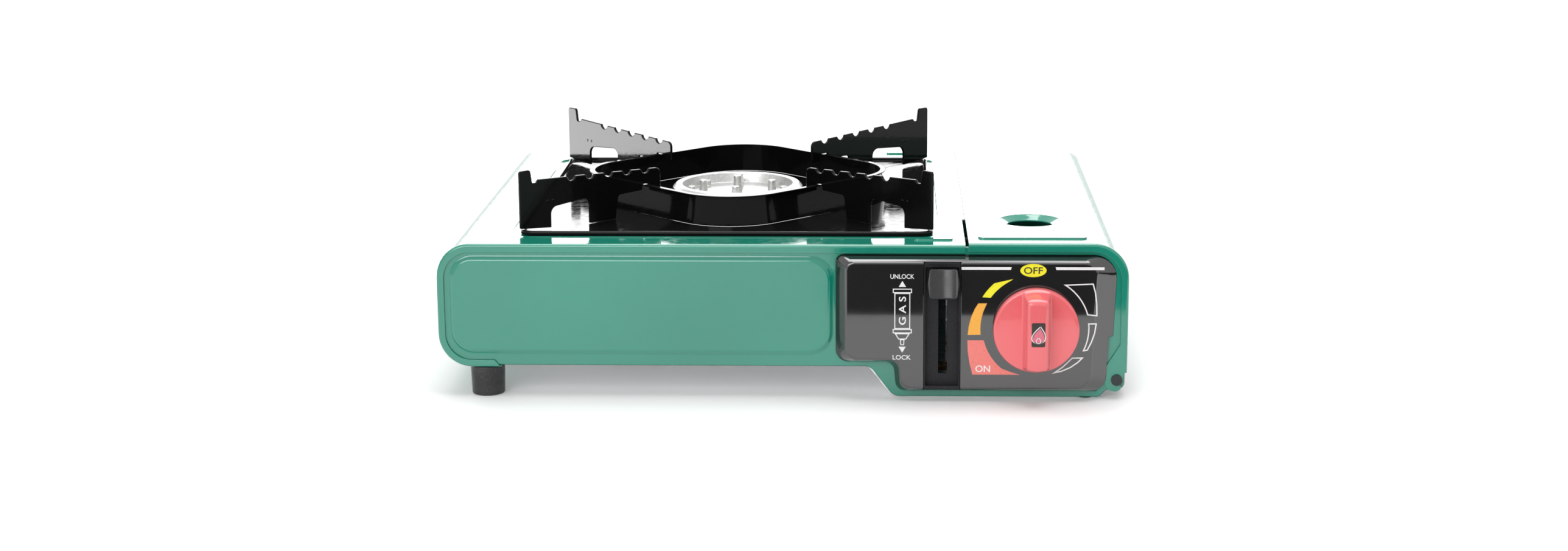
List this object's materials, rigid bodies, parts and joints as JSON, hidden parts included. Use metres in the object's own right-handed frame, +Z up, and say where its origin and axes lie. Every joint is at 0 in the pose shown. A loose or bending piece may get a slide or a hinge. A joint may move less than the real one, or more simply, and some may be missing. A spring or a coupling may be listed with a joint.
{
  "type": "butane cassette stove",
  "caption": "Low portable gas stove: sheet casing, square drip tray with wind ring and pan supports, round burner, lidded canister bay, rotary knob and lock lever.",
  "frame": {"origin": "on the table under the middle of the whole, knob included", "axes": "+Z up, the controls face -Y, the canister bay is at +X"},
  "size_m": [0.343, 0.291, 0.11],
  "materials": {
    "green_enamel": "glossy enamel",
    "black_enamel": "glossy enamel",
    "zinc_steel": "zinc plated sheet",
    "bright_steel": "bright steel",
    "cast_aluminium": "cast and turned",
    "brass": "turned",
    "copper": "drawn tube",
    "ceramic": "glazed",
    "gloss_black": "high gloss",
    "matt_black": "fine matt",
    "satin_black": "satin",
    "red_plastic": "gloss",
    "black_rubber": "matt",
    "lead_jacket": "soft jacket"
  },
  "bodies": {
    "stove": {"main_shell": "green_enamel", "front_panel": "green_enamel", "rear_panel": "green_enamel", "bottom_plate": "zinc_steel", "bay_partition": "zinc_steel", "burner_bracket": "zinc_steel", "lever_bracket": "zinc_steel", "canister_saddle": "zinc_steel", "electrode_clip": "zinc_steel", "hinge_pins": "bright_steel", "lever_pivot_pin": "bright_steel", "spark_electrode": "bright_steel", "leg_feet": "black_rubber", "bay_bumpers": "black_rubber", "burner_head": "cast_aluminium", "burner_base": "cast_aluminium", "regulator_body": "cast_aluminium", "regulator_cap": "cast_aluminium", "canister_socket": "cast_aluminium", "mixing_tube": "bright_steel", "gas_jet": "brass", "gas_tube": "copper", "electrode_insulator": "ceramic", "control_fascia": "gloss_black", "slot_insert": "matt_black", "piezo_igniter": "matt_black", "ignition_lead": "lead_jacket"},
    "pan_support": {"drip_tray": "black_enamel", "wind_ring": "black_enamel", "trivet_rear_right": "black_enamel", "trivet_rear_left": "black_enamel", "trivet_front_left": "black_enamel", "trivet_front_right": "black_enamel"},
    "lid": {"lid_shell": "green_enamel"},
    "knob": {"control_knob": "red_plastic", "valve_stem": "bright_steel"},
    "lever": {"lock_lever": "zinc_steel", "lever_thumb": "satin_black", "lever_drive_pin": "bright_steel"},
    "carriage": {"canister_carriage": "zinc_steel"}
  },
  "joints": [
    {"name": "pan_support_lift", "type": "slide", "parent": "stove", "child": "pan_support", "axis": [0, 0, 1], "range_m": [0, 0.06]},
    {"name": "lid_hinge", "type": "hinge", "parent": "stove", "child": "lid", "pos_m": [0.1663, 0, 0.01], "axis": [0, 1, 0], "range_deg": [0, 92]},
    {"name": "knob_turn", "type": "hinge", "parent": "stove", "child": "knob", "pos_m": [0.1257, -0.13755, 0.0375], "axis": [0, -1, 0], "range_deg": [0, 140]},
    {"name": "lever_swing", "type": "hinge", "parent": "stove", "child": "lever", "pos_m": [0.08005, -0.06155, 0.04], "axis": [1, 0, 0], "range_deg": [0, 32.12]},
    {"name": "carriage_slide", "type": "slide", "parent": "stove", "child": "carriage", "axis": [0, -1, 0], "range_m": [0, 0.00619]}
  ],
  "couplings": [
    {"joint": "carriage_slide", "follows": "lever_swing", "m_per_rad": 0.010857}
  ]
}
